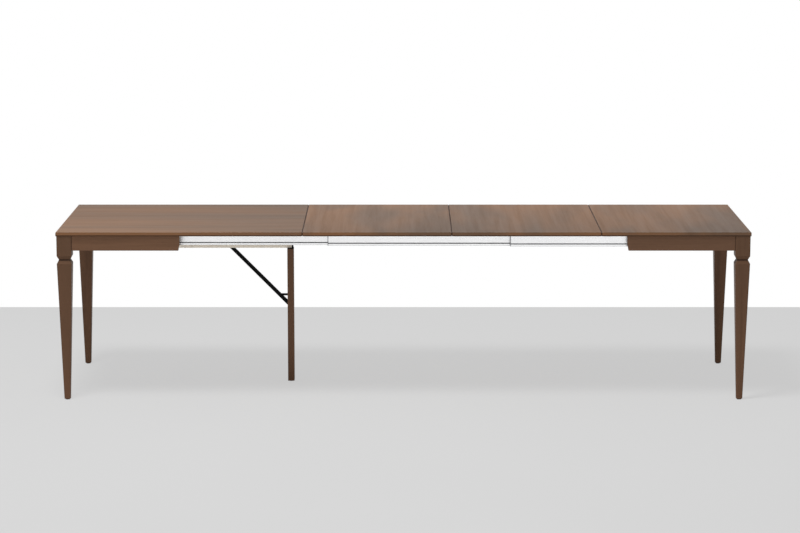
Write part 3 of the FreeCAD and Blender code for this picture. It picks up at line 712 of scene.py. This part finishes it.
def bolt_form(head_radius, head_height, shank_radius, length):
    """A bolt that points down, with the underside of its head at zero."""
    form = Rings()
    top = form.circle(hexagon_sides, head_radius * hexagon_top_share, head_height)
    shoulder = form.circle(hexagon_sides, head_radius, head_height * hexagon_shoulder_share)
    seat = form.circle(hexagon_sides, head_radius, 0.0)
    form.join(top, shoulder)
    form.join(shoulder, seat)
    form.close(top, True)
    form.close(seat, False)
    neck = form.circle(head_sides, shank_radius, 0.0)
    end = form.circle(head_sides, shank_radius, shank_radius * bolt_tip_length_share - length)
    tip = form.circle(head_sides, shank_radius * bolt_tip_share, -length)
    form.join(neck, end)
    form.join(end, tip)
    form.close(neck, True)
    form.close(tip, False)
    return form


def solids_of(node):
    """The points of each separate solid in a node."""
    mesh = bmesh.new()
    mesh.from_mesh(frame["nodes"][node].data)
    bmesh.ops.remove_doubles(mesh, verts=mesh.verts, dist=weld_reach)
    solids = []
    found = set()
    for start in mesh.verts:
        points = []
        waiting = [start]
        while waiting:
            vert = waiting.pop()
            if vert not in found:
                found.add(vert)
                points.append(vert.co.copy())
                waiting += [edge.other_vert(vert) for edge in vert.link_edges]
        if points:
            solids.append(points)
    mesh.free()
    return solids


def fasteners(node, make, aim):
    """Puts a fastener on the axis of each solid of a node; the aim is the way that it points."""
    verts = []
    faces = []
    for points in solids_of(node):
        middle = sum(points, Vector()) / len(points)
        way = Vector(aim(middle)).normalized()
        offsets = [point - middle for point in points]
        heights = [-way.dot(offset) for offset in offsets]
        widths = [(offset - way * way.dot(offset)).length for offset in offsets]
        top, bottom = max(heights), min(heights)
        head_radius = max(widths)
        shank_radius = min(width for width, height in zip(widths, heights) if height < bottom + tip_reach)
        seat = min(height for width, height in zip(widths, heights) if width > head_radius * rim_share)
        form = make(head_radius, top - seat, shank_radius, seat - bottom)
        turn = (-way).to_track_quat("Z", "Y")
        first = len(verts)
        verts += [middle - way * seat + turn @ Vector(vert) for vert in form.verts]
        faces += [tuple(first + index for index in face) for face in form.faces]
    put_in_place(node, verts, faces, head_sharp_degrees)


def upwards(middle):
    return 0.0, 0.0, 1.0


def to_front(middle):
    return 0.0, -1.0, 0.0


def to_corner(middle):
    return math.copysign(1.0, middle.x), math.copysign(1.0, middle.y), 0.0


for node_name in ("left_rail_screws", "right_rail_screws", "leaf_1_screws", "leaf_2_screws"):
    fasteners(node_name, screw_form, upwards)
for node_name in ("hinge_screws", "catch_screw"):
    fasteners(node_name, screw_form, to_front)
for node_name in ("left_corner_bolts", "right_corner_bolts"):
    fasteners(node_name, bolt_form, to_corner)


# Floor and background

floor_shades = (even(0.88), even(0.92))
floor_reach = 40.0
floor_back = 1.945
floor_glow = 0.66
floor_glow_share = 0.82
world_level = 0.27


def floor_material():
    """Pale grey floor with an even glow to the eye, over which soft shadows still show."""
    shader = Shader("studio_floor")
    clouds = shader.noise(even(0.7))
    dull, bright = floor_shades
    shader.set(Base_Color=shader.ramp(clouds, (noise_low, dull), (noise_high, bright)))
    shader.set(Roughness=0.85, Specular_IOR_Level=0.1)
    ray = shader.add("ShaderNodeLightPath").outputs
    seen = shader.math("MAXIMUM", ray["Is Camera Ray"], ray["Is Glossy Ray"])
    glow = shader.add("ShaderNodeEmission")
    shader.feed(glow.inputs["Strength"], floor_glow)
    mix = shader.add("ShaderNodeMixShader")
    shader.feed(mix.inputs["Fac"], shader.spread(seen, 0.0, 1.0, 0.0, floor_glow_share))
    shader.feed(mix.inputs[1], shader.surface.outputs["BSDF"])
    shader.feed(mix.inputs[2], glow.outputs["Emission"])
    shader.feed(shader.output.inputs["Surface"], mix.outputs["Shader"])
    return shader.material


def make_floor():
    """A floor that ends behind the table, where the white background begins."""
    corners = [
        (-floor_reach, -floor_reach, 0.0),
        (floor_reach, -floor_reach, 0.0),
        (floor_reach, floor_back, 0.0),
        (-floor_reach, floor_back, 0.0),
    ]
    mesh = bpy.data.meshes.new("studio_floor")
    mesh.from_pydata(corners, [], [(0, 1, 2, 3)])
    mesh.materials.append(floor_material())
    floor = bpy.data.objects.new("studio_floor", mesh)
    scene.collection.objects.link(floor)


def make_world():
    """White where the camera or a reflection sees it, and a soft even light otherwise."""
    world = bpy.data.worlds.new("studio")
    world.use_nodes = True
    scene.world = world
    nodes = Nodes(world.node_tree)
    ray = nodes.add("ShaderNodeLightPath").outputs
    mirrored = nodes.math("MAXIMUM", ray["Is Glossy Ray"], ray["Is Transmission Ray"])
    seen = nodes.math("MAXIMUM", ray["Is Camera Ray"], mirrored)
    strength = nodes.spread(seen, 0.0, 1.0, world_level, 1.0)
    nodes.feed_all(nodes.tree.nodes["Background"], {"Color": (*white, 1.0), "Strength": strength})


def make_lamp(name, place, target, size, power, shines=True):
    lamp = bpy.data.lights.new(name, "AREA")
    lamp.shape = "RECTANGLE"
    lamp.size, lamp.size_y = size
    lamp.energy = power
    item = bpy.data.objects.new(name, lamp)
    item.location = place
    item.rotation_euler = (Vector(target) - Vector(place)).to_track_quat("-Z", "Y").to_euler()
    item.visible_glossy = shines
    scene.collection.objects.link(item)


make_floor()
make_world()
make_lamp("key", (-1.7, -2.3, 6.8), target=(0.0, 0.0, 0.7), size=(2.2, 2.2), power=315.0)
make_lamp("card", (1.0, -8.0, 0.9), target=(0.3, 0.0, 0.9), size=(10.0, 1.8), power=104.0)
make_lamp("back_card", (0.0, 8.0, 1.4), target=(0.0, 0.0, 0.6), size=(9.0, 1.8), power=45.0, shines=False)


# Camera

camera_place = (-0.0156, -12.4259, 2.617)
camera_down_degrees = 9.45
lens_mm = 120.16
sensor_mm = 36.0
view_end = 200.0

camera_data = bpy.data.cameras.new("camera")
camera_data.sensor_width = sensor_mm
camera_data.lens = lens_mm
camera_data.clip_end = view_end
camera = bpy.data.objects.new("camera", camera_data)
camera.location = camera_place
camera.rotation_euler = (math.radians(90.0 - camera_down_degrees), 0.0, 0.0)
scene.collection.objects.link(camera)
scene.camera = camera
scene.view_settings.view_transform = "Standard"
